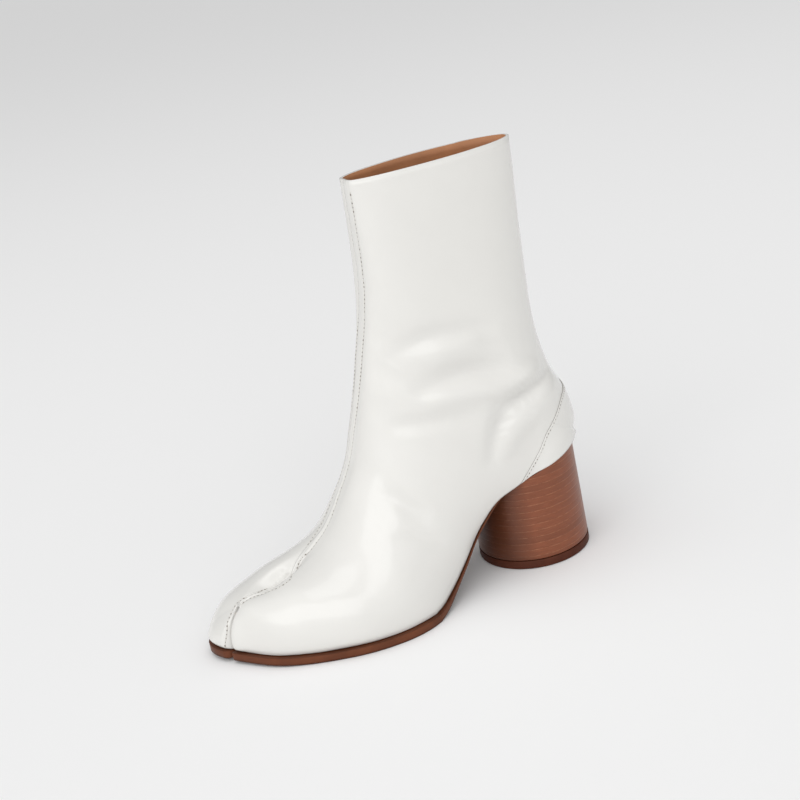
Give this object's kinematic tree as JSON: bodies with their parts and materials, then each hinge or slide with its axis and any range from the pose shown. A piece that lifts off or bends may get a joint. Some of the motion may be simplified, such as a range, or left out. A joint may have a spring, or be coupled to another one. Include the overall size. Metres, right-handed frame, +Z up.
{
  "type": "split-toe heeled ankle boot",
  "caption": "Left ankle boot in glossy white leather with a split toe, a raised front seam, a thin curved sole and a round stacked heel, open at the collar.",
  "frame": {"origin": "centre of the heel's round foot, on the floor the boot stands on", "axes": "+Z up, -Y towards the toes, +X towards the outer side of the left foot"},
  "size_m": [0.0955, 0.2414, 0.2466],
  "materials": {
    "white_leather": "smooth glossy warm white leather",
    "sole_leather": "reddish brown stained sole leather, satin edge",
    "lining_leather": "tan unlined leather, matt",
    "heel_stack": "stacked brown heel with fine paler layer lines, satin",
    "top_lift_rubber": "dark brown rubber, matt"
  },
  "bodies": {
    "root": {"upper": "white_leather", "outsole": "sole_leather", "insole": "lining_leather", "heel": "heel_stack", "top_lift": "top_lift_rubber"}
  },
  "joints": []
}
